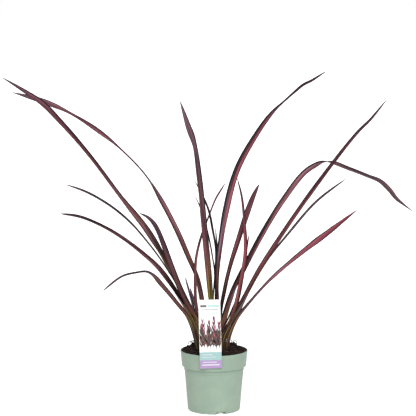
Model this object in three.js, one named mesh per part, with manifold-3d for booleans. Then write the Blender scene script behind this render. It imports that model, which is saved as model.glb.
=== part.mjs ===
// A New Zealand flax with pink and maroon strap leaves, standing in a plastic nursery pot.
// Millimetres, +Z up. The origin is the centre of the pot's foot, and the front faces -Y.
import * as THREE from "three";
import { mergeVertices } from "three/addons/utils/BufferGeometryUtils.js";
import Module from "manifold-3d";

const wasm = await Module();
wasm.setup();

// Driving dimensions of the pot.
const RIM_RADIUS = 70;
const POT_HEIGHT = 126;
const WALL = 1.8;
const COLLAR_FOOT_RADIUS = 67.2;
const COLLAR_FOOT_Z = 95;
const BODY_TOP_RADIUS = 62.2;
const BODY_TOP_Z = 89;
const FOOT_RADIUS = 54.5;
const FLOOR_TOP = 8.4;
const FLOOR_UNDER = 6.7;
const FLOOR_FILLET = 3;
const FOOT_RING_INNER = 47;
const CENTRE_PAD_RADIUS = 16;
const DRAIN_HOLES = 6;
const NOTCHES = 3;
const DRAIN_RADIUS = 4.5;
const DRAIN_CIRCLE = 34;
const DRAIN_SIDES = 16;
const NOTCH_WIDTH = 20;
const NOTCH_HEIGHT = 6;
const NOTCH_DEPTH = 16;
const NOTCH_TURN = THREE.MathUtils.degToRad(-74);
const LIP = 0.7;
const POT_SIDES = 48;

// Driving dimensions of the soil and of the seats in it.
const SEAT_GAP = 0.3;
const SOIL_CLEAR = 0.45;
const SOIL_EDGE_Z = 125.2;
const SOIL_MOUND = 8;
const SOIL_LUMP = 0.9;
const SOIL_RINGS = [66.5, 62, 56, 49, 42, 35, 28, 21, 14, 7, 0];
const SLOT_FLOOR = 97.7;
const SLOT_TOP = 134;

// Driving dimensions of the label: a card outside the pot, a bridge over the rim and a leg.
const CARD = { width: 44.5, height: 141.5, thick: 0.8, x: -8.2, z: 172 };
const CARD_TILT = THREE.MathUtils.degToRad(-1.5);
const CARD_CORNER = 2.5;
const CARD_STANDOFF = 0.4;
const LEG = { width: 14, thick: 1, foot: 97, y: -62.2 };
const BRIDGE_Z = 126.4;

// Driving dimensions of every leaf: a blade folded along its keel.
const BLADE_THICK = 0.62;
const KEEL_SETBACK = 0.4;
const FOLD_AT_FOOT = 82;
const FOLD_OPEN_FROM = 0.1;
const FOLD_OPEN_BY = 0.42;
const SHEATH_EXTRA = 0.4;
const SHEATH_TO = 0.16;
const TURN_FROM = 0.08;
const TAPER_FROM = 0.52;
const TAPER_POWER = 12;
const TIP_ARM = 0.5;
const STATION_STEP = 22;

// Each leaf, named by its fan: how far each half is bent back where the blade is open, the width
// of one half of it at even steps from foot to tip, before it tapers, its turn about its own length
// at even steps (90: keel to the left, -90: keel to the right, 0: open face to the front), and the
// points that it passes through from its foot to its tip.
const LEAVES = [
  {
    name: "left_leaf_1", fold: 30,
    arm: [6, 6, 5.6, 5.3, 6.4, 5.7, 6.1],
    turn: [90, 75, 35, 5, 90, 80, 70],
    route: [[-31, -12, 98], [-38, -13, 149], [-53, -14, 191.5], [-82, -24, 234.5], [-114, -48, 278],
      [-129, -60, 294], [-139, -70, 300], [-158, -84, 300], [-185, -102, 295], [-222, -128, 270]],
  },
  {
    name: "left_leaf_2", fold: 35,
    arm: [6, 6.5, 7.6, 6, 5.8, 6, 6.2],
    turn: [90, 60, 25, 45, 60, 55],
    route: [[-30, 0, 98], [-31, 2, 152], [-50, 4.5, 196.5], [-75, 9, 237.5], [-114, 30, 291],
      [-150, 56, 320], [-200, 95, 351], [-244, 126, 371], [-288, 158, 384], [-334, 190, 388]],
  },
  {
    name: "left_leaf_3", fold: 40,
    arm: [4, 4, 4, 4.6, 5, 5, 5],
    turn: [90, 85, 85, 70, 60],
    route: [[-28, -8, 98], [-29, -8, 154], [-50, -8, 202.5], [-72, -9, 254], [-99, -18, 301],
      [-132, -48, 353], [-170, -84, 403], [-208, -118, 440], [-250, -148, 469], [-291, -172, 488]],
  },
  {
    name: "left_leaf_4", fold: 35,
    arm: [7.7, 7.8, 8.4, 7.8, 8, 8.2, 5.8],
    turn: [90, 85, 55, 10, 60, 60, 50, 35, 50],
    route: [[-25, -4, 98], [-24, -4, 151], [-42, -2, 193.5], [-69, -3, 253], [-101, -2, 311],
      [-139, 0, 377], [-191, 0, 442], [-255, -6, 529], [-315, -14, 601], [-350, -20, 638],
      [-385, -28, 663], [-429, -38, 692]],
  },
  {
    name: "left_leaf_5", fold: 30,
    arm: [7, 7, 7, 7, 6.7, 6.5, 7.3],
    turn: [90, 60, 25, 15, 20, 35, 75],
    route: [[-20, -12, 98], [-22, -12, 153], [-36.5, -15, 191.5], [-56, -18, 227.5], [-71, -21, 260],
      [-88, -27, 306], [-105, -34, 354], [-120, -40, 389], [-135, -46, 407], [-153, -52, 418]],
  },
  {
    name: "left_leaf_6", fold: 45,
    arm: [3, 3.4, 4, 4.4, 4.8, 5, 4.4],
    turn: [90, 80, 75],
    route: [[-21, 0, 98], [-22, 1, 150], [-33, 4, 184.5], [-44, 6, 217.5], [-54, 9, 254], [-60, 12, 277]],
  },
  {
    name: "left_leaf_7", fold: 45,
    arm: [3, 3.4, 4, 4.4, 5, 5, 4.4],
    turn: [90, 80, 75],
    route: [[-15, -3, 98], [-16, -3, 151], [-27, -1, 185.5], [-38, 1, 214.5], [-46, 4, 241], [-50, 6, 256]],
  },
  {
    name: "left_leaf_8", fold: 40,
    arm: [4.5, 5.5, 6, 5, 4.7, 4.4, 4.9],
    turn: [90, 60, 40, 45, 80, 50],
    route: [[-15, -8, 98], [-21, -8, 152], [-32, -7, 190.5], [-39, -4, 227.5], [-40, 2, 273],
      [-38, 10, 316], [-27, 26, 361], [-11, 42, 400], [4, 54, 437], [24, 66, 468]],
  },
  {
    name: "centre_leaf_1", fold: 20,
    arm: [6, 7.5, 7, 6.2, 5.7, 6.7, 6.9],
    turn: [90, 85, 40, 40, 35, 90, 90, 55, 75, 20, 55],
    route: [[-14, 8, 98], [-10, 9, 155], [-21, 11, 207.5], [-34, 15, 267], [-54, 20, 316],
      [-76, 28, 368], [-110, 40, 433], [-145, 54, 487], [-197, 78, 538], [-251, 98, 579],
      [-305, 116, 610], [-358, 132, 633], [-430, 148, 653]],
  },
  {
    name: "centre_leaf_2", fold: 25,
    arm: [6.8, 8, 7, 6.9, 6.7, 6.9, 4.6],
    turn: [90, 60, 15, 5, 10, 25, 40, 40, 50, -5, 15],
    route: [[-7, 4, 98], [-7, 4, 156], [-8, 3, 219.5], [-11, 1, 283], [-18, -2, 357], [-25, -6, 430],
      [-32, -14, 493], [-41, -25, 555], [-55, -36, 601], [-69, -48, 645]],
  },
  {
    name: "centre_leaf_3", fold: 40,
    arm: [3, 3.2, 3.2, 3.4, 3.6, 3.4, 3.2],
    turn: [90, 90, 70, 75],
    route: [[-4, 8, 98], [-3, 8, 155], [-3, 9, 218.5], [1, 12, 282], [-4, 15, 321], [-14, 20, 371],
      [-28, 25, 418], [-40, 28, 445]],
  },
  {
    name: "centre_leaf_4", fold: 40,
    arm: [3.2, 3.4, 3.6, 3.8, 4.2, 4, 3.4],
    turn: [90, 85, 65, 40, 75],
    route: [[-3, 12, 98], [-3, 12, 154], [-2, 15, 228.5], [2, 20, 291], [3, 24, 332], [-4, 27, 376],
      [-11, 30, 411], [-25, 34, 446], [-41, 38, 476]],
  },
  {
    name: "centre_leaf_5", fold: 40,
    arm: [3.2, 3.4, 3.6, 3.8, 3.8, 3.8, 3.6],
    turn: [-90, -80, -75, -75],
    route: [[2, 8, 98], [2, 8, 155], [3, 9, 229.5], [6, 12, 303], [6, 14, 344], [3, 17, 379]],
  },
  {
    name: "centre_leaf_6", fold: 25,
    arm: [6.2, 7.5, 6.8, 6.9, 6.8, 4.4, 6.8],
    turn: [-90, -64, -30, -30, -34, -19, -15, -10, -30, -45, -85, -60, -65],
    route: [[4, 3, 98], [5, 3, 156], [7, 2, 230.5], [8, 0, 294], [15, -5, 357], [25, -12, 420],
      [47, -26, 504], [81, -43, 569], [114, -57, 618], [144, -70, 648], [163, -77, 665.5],
      [177, -82, 677.5], [195.5, -88, 687.5], [210, -93, 697.5], [222.5, -98, 706.5]],
  },
  {
    name: "centre_leaf_7", fold: 30,
    arm: [5, 7, 5.8, 5.3, 6.2, 7.3, 5.6],
    turn: [-90, -50, -25, -15, 0, -10],
    route: [[8, 8, 98], [11, 9.5, 166], [19, 15, 228.5], [32, 25, 290], [51, 41, 351], [71, 56, 411],
      [83, 63, 441], [95, 70, 465]],
  },
  {
    name: "centre_leaf_8", fold: 25,
    arm: [6.3, 9, 7.2, 6.4, 6.7, 6.6, 6],
    turn: [-90, -60, -25, -35, -25, -10, -25, -140, -132, -155, -120],
    route: [[11, 13, 98], [15, 16, 161], [38, 21, 238.5], [73, 27, 311], [106, 35, 373], [145, 50, 434],
      [187, 63, 487], [211, 71, 503], [235, 78, 511], [286, 92, 493.5], [324.5, 101, 478],
      [351.5, 108, 466.5], [371.5, 113, 448.5], [388, 118, 428], [405, 122, 414], [425, 127, 399.5]],
  },
  {
    name: "right_leaf_1", fold: 45,
    arm: [2.8, 3, 3.4, 3.8, 3.8, 3.6, 3.4],
    turn: [-90, -80, -75],
    route: [[9, -0.5, 98], [12, 0, 150], [31, 1, 195.5], [48, 4, 236.5], [60, 12, 288], [68, 19, 333],
      [73, 26, 365]],
  },
  {
    name: "right_leaf_2", fold: 35,
    arm: [5, 6.5, 6.3, 5.4, 5, 4.8, 5.2],
    turn: [-90, -40, -10, -15, -50, -70],
    route: [[16, -8, 98], [22, -9, 152], [35, -13, 188.5], [47, -12, 226.5], [56, -2, 271], [65, 9, 324],
      [64, 22, 385], [58, 33, 444], [48, 40, 481]],
  },
  {
    name: "right_leaf_3", fold: 30,
    arm: [7, 8, 5.8, 5.2, 5.8, 6.2, 5.1],
    turn: [-90, -45, -10, -20, -30, -50, -60, -60],
    route: [[11, -4, 98], [18, -4, 151], [39, -3, 191.5], [61, -5, 231.5], [93, -16, 296],
      [145, -30, 381], [196, -42, 457], [256, -56, 540], [288, -62, 580.5], [301, -65, 594.5],
      [311.5, -67, 605], [325, -69, 621.5], [346, -72, 649.5]],
  },
  {
    name: "right_leaf_4", fold: 40,
    arm: [4.4, 4.4, 3.8, 4.4, 5.4, 5.4, 4.8],
    turn: [-90, -80, -65, -70],
    route: [[19, 0, 98], [24, 0, 151], [46, 2, 193.5], [75, 10, 251], [112, 24, 311], [161, 50, 368],
      [214, 86, 423], [282, 132, 470]],
  },
  {
    name: "right_leaf_5", fold: 25,
    arm: [5.5, 5.5, 5.6, 6.6, 6.2, 8, 6],
    turn: [-90, -75, -70, -60, -38, -12, -20],
    route: [[25, -8, 98], [30, -9, 148], [46, -14, 191.5], [76, -27, 232.5], [115, -48, 280],
      [175, -80, 339], [232, -114, 390], [282, -150, 436]],
  },
];

const materials = {
  pot: new THREE.MeshStandardMaterial({ color: 0xa8bda9, roughness: 0.55, metalness: 0 }),
  soil: new THREE.MeshStandardMaterial({ color: 0x2a1c18, roughness: 1, metalness: 0 }),
  label: new THREE.MeshStandardMaterial({ color: 0xf4f4f2, roughness: 0.4, metalness: 0 }),
  leaf: new THREE.MeshStandardMaterial({ color: 0x6b3f47, roughness: 0.45, metalness: 0 }),
};

// Turns a closed geometry into a solid for cutting and joining.
function solidOf(geometry) {
  const bare = geometry.clone();
  bare.deleteAttribute("normal");
  bare.deleteAttribute("uv");
  const merged = mergeVertices(bare, 1e-3);
  return new wasm.Manifold(
    new wasm.Mesh({
      numProp: 3,
      vertProperties: new Float32Array(merged.attributes.position.array),
      triVerts: new Uint32Array(merged.index.array),
    }),
  );
}

// Turns a solid back into a geometry.
function geometryOf(solid) {
  const mesh = solid.getMesh();
  const geometry = new THREE.BufferGeometry();
  geometry.setAttribute("position", new THREE.BufferAttribute(mesh.vertProperties, 3));
  geometry.setIndex(new THREE.BufferAttribute(mesh.triVerts, 1));
  geometry.computeVertexNormals();
  return geometry;
}

// A mesh that carries its node's name and a material of its own.
function named(name, geometry, material) {
  const mesh = new THREE.Mesh(geometry, material.clone());
  mesh.name = name;
  return mesh;
}

// A solid of revolution about Z from [radius, z] points.
function turned(points, sides) {
  const profile = points.map(([radius, z]) => new THREE.Vector2(radius, z));
  return new THREE.LatheGeometry(profile, sides).rotateX(Math.PI / 2);
}

// Radius of the inner wall of the pot at a height above the floor.
function innerWall(z) {
  const slope = (RIM_RADIUS - COLLAR_FOOT_RADIUS) / (POT_HEIGHT - COLLAR_FOOT_Z);
  if (z >= COLLAR_FOOT_Z) return COLLAR_FOOT_RADIUS + (z - COLLAR_FOOT_Z) * slope - WALL;
  const step = THREE.MathUtils.clamp((z - BODY_TOP_Z) / (COLLAR_FOOT_Z - BODY_TOP_Z), 0, 1);
  const body = FOOT_RADIUS + ((BODY_TOP_RADIUS - FOOT_RADIUS) * Math.min(z, BODY_TOP_Z)) / BODY_TOP_Z;
  return body + step * (COLLAR_FOOT_RADIUS - BODY_TOP_RADIUS) - WALL;
}

// Thin-walled pot: body, shoulder, collar, rounded lip, foot ring and drained floor.
function makePot() {
  const profile = [
    [0, 0],
    [CENTRE_PAD_RADIUS, 0],
    [CENTRE_PAD_RADIUS + 1.5, FLOOR_UNDER],
    [FOOT_RING_INNER - 1, FLOOR_UNDER],
    [FOOT_RING_INNER, 0],
    [FOOT_RADIUS - 3.2, 0],
    [FOOT_RADIUS - 1.2, 0.7],
    [FOOT_RADIUS - 0.2, 2.6],
    [BODY_TOP_RADIUS, BODY_TOP_Z],
    [BODY_TOP_RADIUS + 0.4, BODY_TOP_Z + 2.2],
    [COLLAR_FOOT_RADIUS - 2, COLLAR_FOOT_Z - 2.4],
    [COLLAR_FOOT_RADIUS - 0.5, COLLAR_FOOT_Z - 1.4],
    [COLLAR_FOOT_RADIUS, COLLAR_FOOT_Z + 0.4],
    [RIM_RADIUS, POT_HEIGHT - LIP],
    [RIM_RADIUS - 0.3, POT_HEIGHT - 0.2],
    [RIM_RADIUS - LIP, POT_HEIGHT],
    [RIM_RADIUS - WALL + 0.3, POT_HEIGHT],
    [RIM_RADIUS - WALL, POT_HEIGHT - 0.5],
    [innerWall(COLLAR_FOOT_Z), COLLAR_FOOT_Z + 0.8],
    [innerWall(BODY_TOP_Z), BODY_TOP_Z + 1],
    [innerWall(FLOOR_TOP + FLOOR_FILLET), FLOOR_TOP + FLOOR_FILLET],
    [innerWall(FLOOR_TOP) - 1.2, FLOOR_TOP + 0.8],
    [innerWall(FLOOR_TOP) - FLOOR_FILLET, FLOOR_TOP],
    [0, FLOOR_TOP],
  ];
  let pot = solidOf(turned(profile, POT_SIDES));
  for (let i = 0; i < DRAIN_HOLES; i++) {
    const turn = NOTCH_TURN + (i * 2 * Math.PI) / DRAIN_HOLES;
    const hole = new THREE.CylinderGeometry(DRAIN_RADIUS, DRAIN_RADIUS, 2 * FLOOR_TOP, DRAIN_SIDES);
    hole.rotateX(Math.PI / 2).translate(DRAIN_CIRCLE, 0, FLOOR_UNDER).rotateZ(turn);
    pot = pot.subtract(solidOf(hole));
  }
  for (let i = 0; i < NOTCHES; i++) {
    const notch = new THREE.BoxGeometry(NOTCH_DEPTH, NOTCH_WIDTH, 2 * NOTCH_HEIGHT);
    notch.translate(FOOT_RADIUS, 0, 0).rotateZ(NOTCH_TURN + (i * 2 * Math.PI) / NOTCHES);
    pot = pot.subtract(solidOf(notch));
  }
  return named("pot", geometryOf(pot), materials.pot);
}

// Height of the heaped soil at a place.
function soilTop(x, y) {
  const share = Math.min(1, Math.hypot(x, y) / RIM_RADIUS);
  const lumps = Math.sin(0.31 * x + 1.1) * Math.cos(0.27 * y) + 0.6 * Math.sin(0.5 * y - 0.43 * x);
  const heap = SOIL_MOUND * (1 - share * share) * (0.7 + (0.5 * y) / RIM_RADIUS);
  return SOIL_EDGE_Z + heap + SOIL_LUMP * lumps * (1 - share ** 6);
}

// Points at even steps along a leaf, each with the directions across it and out of its open face.
function stationsOf(leaf) {
  const points = leaf.route.map((p) => new THREE.Vector3(...p));
  const curve = new THREE.CatmullRomCurve3(points, false, "centripetal");
  const count = Math.round(curve.getLength() / STATION_STEP);
  const front = new THREE.Vector3(0, -1, 0);
  return Array.from({ length: count + 1 }, (_, i) => {
    const share = i / count;
    const along = curve.getTangentAt(share).normalize();
    const across = new THREE.Vector3().crossVectors(along, front).normalize();
    across.applyAxisAngle(along, THREE.MathUtils.degToRad(turnAt(leaf, share)));
    const face = new THREE.Vector3().crossVectors(across, along);
    return { share, at: curve.getPointAt(share), across, face };
  });
}

// Value at a share of the way through evenly spaced ones, smooth between them.
function between(values, share) {
  const place = share * (values.length - 1);
  const low = Math.min(Math.floor(place), values.length - 2);
  return THREE.MathUtils.lerp(
    values[low], values[low + 1], THREE.MathUtils.smoothstep(place - low, 0, 1),
  );
}

// Turn of the blade at a share of its length: held at the foot, then by its steps.
function turnAt(leaf, share) {
  return between(leaf.turn, Math.max(0, (share - TURN_FROM) / (1 - TURN_FROM)));
}

// Width of one half of the blade: broad where it clasps the fan, and tapered to the tip.
function armAt(leaf, share) {
  const sheath = 1 - THREE.MathUtils.smoothstep(share, SHEATH_TO, FOLD_OPEN_BY);
  const taper = Math.max(0, (share - TAPER_FROM) / (1 - TAPER_FROM)) ** TAPER_POWER;
  const full = between(leaf.arm, share) * (1 + SHEATH_EXTRA * sheath);
  return TIP_ARM + (full - TIP_ARM) * (1 - taper);
}

// Angle that each half is bent back: nearly shut at the foot, open further up.
function foldAt(leaf, share) {
  const opened = THREE.MathUtils.smoothstep(share, FOLD_OPEN_FROM, FOLD_OPEN_BY);
  return THREE.MathUtils.degToRad(THREE.MathUtils.lerp(FOLD_AT_FOOT, leaf.fold, opened));
}

// Closed geometry through rings of equal point count, capped at both ends.
function lofted(rings) {
  const sides = rings[0].length;
  const positions = rings.flat().flatMap((p) => [p.x, p.y, p.z]);
  const faces = [];
  for (let i = 0; i + 1 < rings.length; i++) {
    for (let j = 0; j < sides; j++) {
      const a = i * sides + j;
      const b = i * sides + ((j + 1) % sides);
      const [c, d] = [a + sides, b + sides];
      // The diagonal leans the same way on both faces of each half.
      if (j < sides / 2) faces.push(a, d, b, a, c, d);
      else faces.push(a, c, b, b, c, d);
    }
  }
  const last = (rings.length - 1) * sides;
  for (let j = 0; j < sides / 2 - 1; j++) {
    const [p, q, r, s] = [j, j + 1, sides - 2 - j, sides - 1 - j];
    faces.push(p, q, r, p, r, s);
    faces.push(last + p, last + r, last + q, last + p, last + s, last + r);
  }
  const geometry = new THREE.BufferGeometry();
  geometry.setAttribute("position", new THREE.Float32BufferAttribute(positions, 3));
  geometry.setIndex(faces);
  return geometry;
}

// The folded blade: outer and inner edge points of both halves and of the keel.
function makeLeaf(leaf) {
  const rings = stationsOf(leaf).map(({ share, at, across, face }) => {
    const fold = foldAt(leaf, share);
    const arm = armAt(leaf, share);
    const middle = (arm * Math.sin(fold)) / 2;
    const place = (side, out) =>
      at.clone().addScaledVector(across, side).addScaledVector(face, out - middle);
    const [c, s] = [Math.cos(fold), Math.sin(fold)];
    const half = BLADE_THICK / 2;
    const outer = [arm * c + half * s, arm * s - half * c];
    const inner = [arm * c - half * s, arm * s + half * c];
    return [
      place(-outer[0], outer[1]),
      place(0, -KEEL_SETBACK),
      place(outer[0], outer[1]),
      place(inner[0], inner[1]),
      place(0, BLADE_THICK / c - KEEL_SETBACK),
      place(-inner[0], inner[1]),
    ];
  });
  return named(leaf.name, lofted(rings), materials.leaf);
}

// The plain hole in the soil that a leaf's foot stands in.
function footHole(leaf) {
  const rings = stationsOf(leaf)
    .filter(({ at }) => at.z < SLOT_TOP + STATION_STEP)
    .map(({ share, at, across, face }, i) => {
      const fold = foldAt(leaf, share);
      const arm = armAt(leaf, share);
      const wide = arm * Math.cos(fold) + BLADE_THICK / 2 + SEAT_GAP;
      const deep = (arm * Math.sin(fold)) / 2 + KEEL_SETBACK + SEAT_GAP;
      const base = i === 0 ? at.clone().setZ(SLOT_FLOOR) : at;
      return [[-1, 1], [-1, -1], [1, -1], [1, 1]].map(([side, out]) =>
        base.clone().addScaledVector(across, side * wide).addScaledVector(face, out * deep),
      );
    });
  return solidOf(lofted(rings));
}

// Leans a piece of the label, made about the card's centre, and sets it in its place.
function labelTurned(geometry) {
  return geometry.rotateY(CARD_TILT).translate(CARD.x, 0, CARD.z);
}

// The leg that stands in the soil, grown by a margin when it cuts its own slot.
function labelLeg(margin) {
  const height = BRIDGE_Z + LEG.thick - LEG.foot;
  const leg = new THREE.BoxGeometry(LEG.width + 2 * margin, LEG.thick + 2 * margin, height + 2 * margin);
  return solidOf(labelTurned(leg.translate(0, LEG.y, LEG.foot + height / 2 - CARD.z)));
}

// Care label: a card with round corners in front of the pot, hooked over the rim into the soil.
function makeLabel() {
  const outline = new THREE.Shape();
  const [w, h, r] = [CARD.width / 2, CARD.height / 2, CARD_CORNER];
  outline.moveTo(-w + r, -h).lineTo(w - r, -h).absarc(w - r, -h + r, r, -Math.PI / 2, 0);
  outline.lineTo(w, h - r).absarc(w - r, h - r, r, 0, Math.PI / 2);
  outline.lineTo(-w + r, h).absarc(-w + r, h - r, r, Math.PI / 2, Math.PI);
  outline.lineTo(-w, -h + r).absarc(-w + r, -h + r, r, Math.PI, 1.5 * Math.PI);
  const card = new THREE.ExtrudeGeometry(outline, {
    depth: CARD.thick, bevelEnabled: false, curveSegments: 5,
  });
  const cardBack = -RIM_RADIUS - CARD_STANDOFF;
  card.rotateX(Math.PI / 2).translate(0, cardBack, 0);
  const reach = LEG.y - LEG.thick / 2 - cardBack;
  const bridge = new THREE.BoxGeometry(LEG.width, reach + 2 * LEG.thick, LEG.thick);
  bridge.translate(0, cardBack + reach / 2 + LEG.thick / 2, BRIDGE_Z + LEG.thick / 2 - CARD.z);
  const whole = solidOf(labelTurned(card)).add(solidOf(labelTurned(bridge))).add(labelLeg(0));
  return named("label", geometryOf(whole), materials.label);
}

// Potting soil: fills the pot to its rim, heaped in the middle, with a hole for every foot.
function makeSoil() {
  const floor = FLOOR_TOP + SEAT_GAP;
  const wall = [
    [innerWall(FLOOR_TOP) - FLOOR_FILLET - SOIL_CLEAR, floor],
    [innerWall(FLOOR_TOP + FLOOR_FILLET) - SOIL_CLEAR, FLOOR_TOP + FLOOR_FILLET + SOIL_CLEAR],
    [innerWall(BODY_TOP_Z) - SOIL_CLEAR, BODY_TOP_Z + 1 + SOIL_CLEAR],
    [innerWall(COLLAR_FOOT_Z) - SOIL_CLEAR, COLLAR_FOOT_Z + 0.8 + SOIL_CLEAR],
    [innerWall(SOIL_EDGE_Z) - SOIL_CLEAR, SOIL_EDGE_Z - 1],
  ];
  const rings = SOIL_RINGS.map((radius) => [radius, SOIL_EDGE_Z]);
  const body = turned([[0, floor], ...wall, ...rings], POT_SIDES);
  const position = body.getAttribute("position");
  for (let i = 0; i < position.count; i++) {
    const [x, y] = [position.getX(i), position.getY(i)];
    if (position.getZ(i) > SOIL_EDGE_Z - 0.5) position.setZ(i, soilTop(x, y));
  }
  let soil = solidOf(body);
  for (const leaf of LEAVES) soil = soil.subtract(footHole(leaf));
  soil = soil.subtract(labelLeg(SEAT_GAP));
  return named("soil", geometryOf(soil), materials.soil);
}

const plant = new THREE.Group();
plant.name = "potted_flax";
plant.add(makePot(), makeSoil(), makeLabel(), ...LEAVES.map(makeLeaf));

export default plant;
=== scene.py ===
import math
import random

import bmesh
import bpy
from mathutils import Matrix, Vector, noise
from mathutils.geometry import interpolate_bezier


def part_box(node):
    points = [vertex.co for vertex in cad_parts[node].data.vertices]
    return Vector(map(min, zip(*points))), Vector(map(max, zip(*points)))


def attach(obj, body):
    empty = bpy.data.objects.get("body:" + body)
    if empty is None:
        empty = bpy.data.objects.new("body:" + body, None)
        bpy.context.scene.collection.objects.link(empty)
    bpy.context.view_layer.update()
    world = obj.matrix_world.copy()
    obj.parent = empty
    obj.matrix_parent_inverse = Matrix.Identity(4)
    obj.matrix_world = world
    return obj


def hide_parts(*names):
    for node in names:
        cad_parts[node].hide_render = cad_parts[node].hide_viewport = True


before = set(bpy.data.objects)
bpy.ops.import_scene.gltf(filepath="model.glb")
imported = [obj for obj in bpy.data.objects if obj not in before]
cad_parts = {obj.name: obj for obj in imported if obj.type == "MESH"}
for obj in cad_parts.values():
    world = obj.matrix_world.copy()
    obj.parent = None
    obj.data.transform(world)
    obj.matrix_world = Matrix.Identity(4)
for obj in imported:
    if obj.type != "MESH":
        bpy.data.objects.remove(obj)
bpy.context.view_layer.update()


# Nursery pot.
# One thin wall of sage-green plastic, formed from a warm sheet in a mould. A wide collar stiffens
# its rim, and it stands on a ring and a centre pad round the drain holes, with notches in the foot.
_, pot_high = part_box("pot")
RIM_RADIUS = pot_high.x
POT_HEIGHT = pot_high.z
WALL = 0.0018
COLLAR_FOOT_RADIUS = 0.0672
COLLAR_FOOT_Z = 0.095
BODY_TOP_RADIUS = 0.0622
BODY_TOP_Z = 0.089
FOOT_RADIUS = 0.0545
FLOOR_TOP = 0.0084
FLOOR_UNDER = 0.0067
FLOOR_FILLET = 0.003
POT_STEPS = 144
PAD_RADIUS = 0.016
RING_RADIUS = 0.047
COLLAR_INSIDE_Z = COLLAR_FOOT_Z + 0.0008
BODY_INSIDE_Z = BODY_TOP_Z + 0.001
DRAIN_HOLES = 6
DRAIN_RADIUS = 0.0045
DRAIN_CIRCLE = 0.034
NOTCHES = 3
NOTCH_SIZE = Vector((0.016, 0.020, 0.012))
NOTCH_ROUNDING = 0.0012
NOTCH_TURN = math.radians(-74)


def colour(red, green, blue):
    """A colour seen on a screen, from 0 to 255, as the light values that a shader takes."""
    def light(value):
        value /= 255
        return value / 12.92 if value <= 0.04045 else ((value + 0.055) / 1.055) ** 2.4
    return (light(red), light(green), light(blue), 1.0)


def finish(name, roughness, specular=0.5):
    """A new material: its shader tree and its surface shader."""
    material = bpy.data.materials.new(name)
    material.use_nodes = True
    surface = material.node_tree.nodes["Principled BSDF"]
    surface.inputs["Roughness"].default_value = roughness
    surface.inputs["Specular IOR Level"].default_value = specular
    return material, material.node_tree, surface


def add(tree, kind, inputs, **settings):
    """A shader node; each of its inputs takes a value, or the output of another node."""
    node = tree.nodes.new("ShaderNode" + kind)
    for key, value in settings.items():
        setattr(node, key, value)
    for key, value in inputs.items():
        if isinstance(value, bpy.types.NodeSocket):
            tree.links.new(value, node.inputs[key])
        else:
            node.inputs[key].default_value = value
    return node


def grain(tree, place, scale, detail=3.0, **inputs):
    """Noise over a surface, from 0 to 1."""
    inputs = {"Vector": place, "Scale": scale, "Detail": detail, **inputs}
    return add(tree, "TexNoise", inputs).outputs[0]


def ramp(tree, value, low, high, start=0.0, end=1.0):
    """A value spread from one range to another, and held at its ends."""
    inputs = {0: value, 1: low, 2: high, 3: start, 4: end}
    return add(tree, "MapRange", inputs, interpolation_type="SMOOTHSTEP").outputs[0]


def reckon(tree, operation, first, second=0.0):
    """Two values added or multiplied, and kept between 0 and 1."""
    return add(tree, "Math", {0: first, 1: second}, operation=operation, use_clamp=True).outputs[0]


def blend(tree, share, first, second):
    """Two colours mixed by a share."""
    return add(tree, "Mix", {0: share, 6: first, 7: second}, data_type="RGBA").outputs[2]


def relief(tree, surface, height, depth):
    """Fine relief on the surface, as deep as depth in metres."""
    bump = add(tree, "Bump", {"Height": height, "Distance": depth, "Strength": 1.0})
    tree.links.new(bump.outputs[0], surface.inputs["Normal"])


def place_of(tree):
    """Where a point of the piece is."""
    return add(tree, "TexCoord", {}).outputs["Object"]


def turned(profile, steps):
    """A closed shell spun round the pot's axis from its outline's points: radius and height."""
    bm = bmesh.new()
    line = [bm.verts.new((radius, 0, z)) for radius, z in profile]
    edges = [bm.edges.new(pair) for pair in zip(line, line[1:])]
    bmesh.ops.spin(
        bm, geom=line + edges, axis=(0, 0, 1), angle=math.tau, steps=steps, use_merge=True
    )
    bmesh.ops.remove_doubles(bm, verts=bm.verts, dist=1e-6)
    bmesh.ops.recalc_face_normals(bm, faces=bm.faces)
    return bm


def piece(name, bm, materials, nodes=(), crease=40):
    """A finished piece from its mesh: it stands for its nodes and rides on the one body."""
    mesh = bpy.data.meshes.new(name)
    bm.to_mesh(mesh)
    bm.free()
    for material in materials:
        mesh.materials.append(material)
    mesh.shade_smooth()
    mesh.set_sharp_from_angle(angle=math.radians(crease))
    obj = bpy.data.objects.new(name, mesh)
    bpy.context.scene.collection.objects.link(obj)
    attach(obj, "root")
    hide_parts(*nodes)
    return obj


def inner_wall(z):
    """Radius of the inside of the pot at a height above its floor."""
    slope = (RIM_RADIUS - COLLAR_FOOT_RADIUS) / (POT_HEIGHT - COLLAR_FOOT_Z)
    if z >= COLLAR_FOOT_Z:
        return COLLAR_FOOT_RADIUS + (z - COLLAR_FOOT_Z) * slope - WALL
    step = min(max((z - BODY_TOP_Z) / (COLLAR_FOOT_Z - BODY_TOP_Z), 0), 1)
    body = FOOT_RADIUS + (BODY_TOP_RADIUS - FOOT_RADIUS) * min(z, BODY_TOP_Z) / BODY_TOP_Z
    return body + step * (COLLAR_FOOT_RADIUS - BODY_TOP_RADIUS) - WALL


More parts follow.
